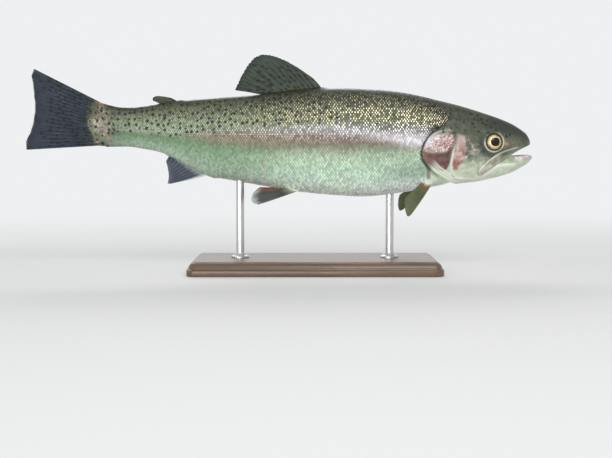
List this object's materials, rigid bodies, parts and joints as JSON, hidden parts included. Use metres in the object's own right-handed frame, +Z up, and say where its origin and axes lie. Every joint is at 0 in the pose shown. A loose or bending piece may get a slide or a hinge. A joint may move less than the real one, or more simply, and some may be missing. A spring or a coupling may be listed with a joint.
{
  "type": "rainbow trout model",
  "caption": "Life-size swimming trout with a gently bent tail and parted jaws, held over a flat wooden base by slim metal rods.",
  "frame": {"origin": "middle of the underside of the stand's base", "axes": "+X towards the snout, +Y towards the fish's left side, +Z up"},
  "size_m": [0.5035, 0.112, 0.2175],
  "materials": {
    "scales": "silvery overlapping scales, olive with gold glints above, pink along the side and pale silver below, dark spots",
    "skin": "smooth wet skin, dark olive above, pink on the cheek and gill cover, pale below",
    "fin": "thin rayed membrane, satin, blue-grey with dark spots",
    "pale_fin": "thin rayed membrane, satin, pale olive with white edges",
    "mouth": "moist pale pink lining",
    "eye": "gold iris and black pupil under a clear cornea",
    "stand_wood": "dark stained, satin varnish",
    "stand_metal": "satin brushed"
  },
  "bodies": {
    "root": {"head": "skin", "lower_jaw": "skin", "upper_jaw_left": "skin", "upper_jaw_right": "skin", "gill_cover_left": "skin", "gill_cover_right": "skin", "tongue": "mouth", "eye_left": "eye", "eye_right": "eye", "trunk": "scales", "tail_stalk": "scales", "dorsal_fin": "fin", "adipose_fin": "fin", "tail_fin": "fin", "anal_fin": "fin", "pelvic_fin_left": "pale_fin", "pelvic_fin_right": "pale_fin", "pectoral_fin_left": "pale_fin", "pectoral_fin_right": "pale_fin", "stand_base": "stand_wood", "stand_rod_front": "stand_metal", "stand_rod_rear": "stand_metal", "stand_ferrule_front": "stand_metal", "stand_ferrule_rear": "stand_metal"}
  },
  "joints": []
}
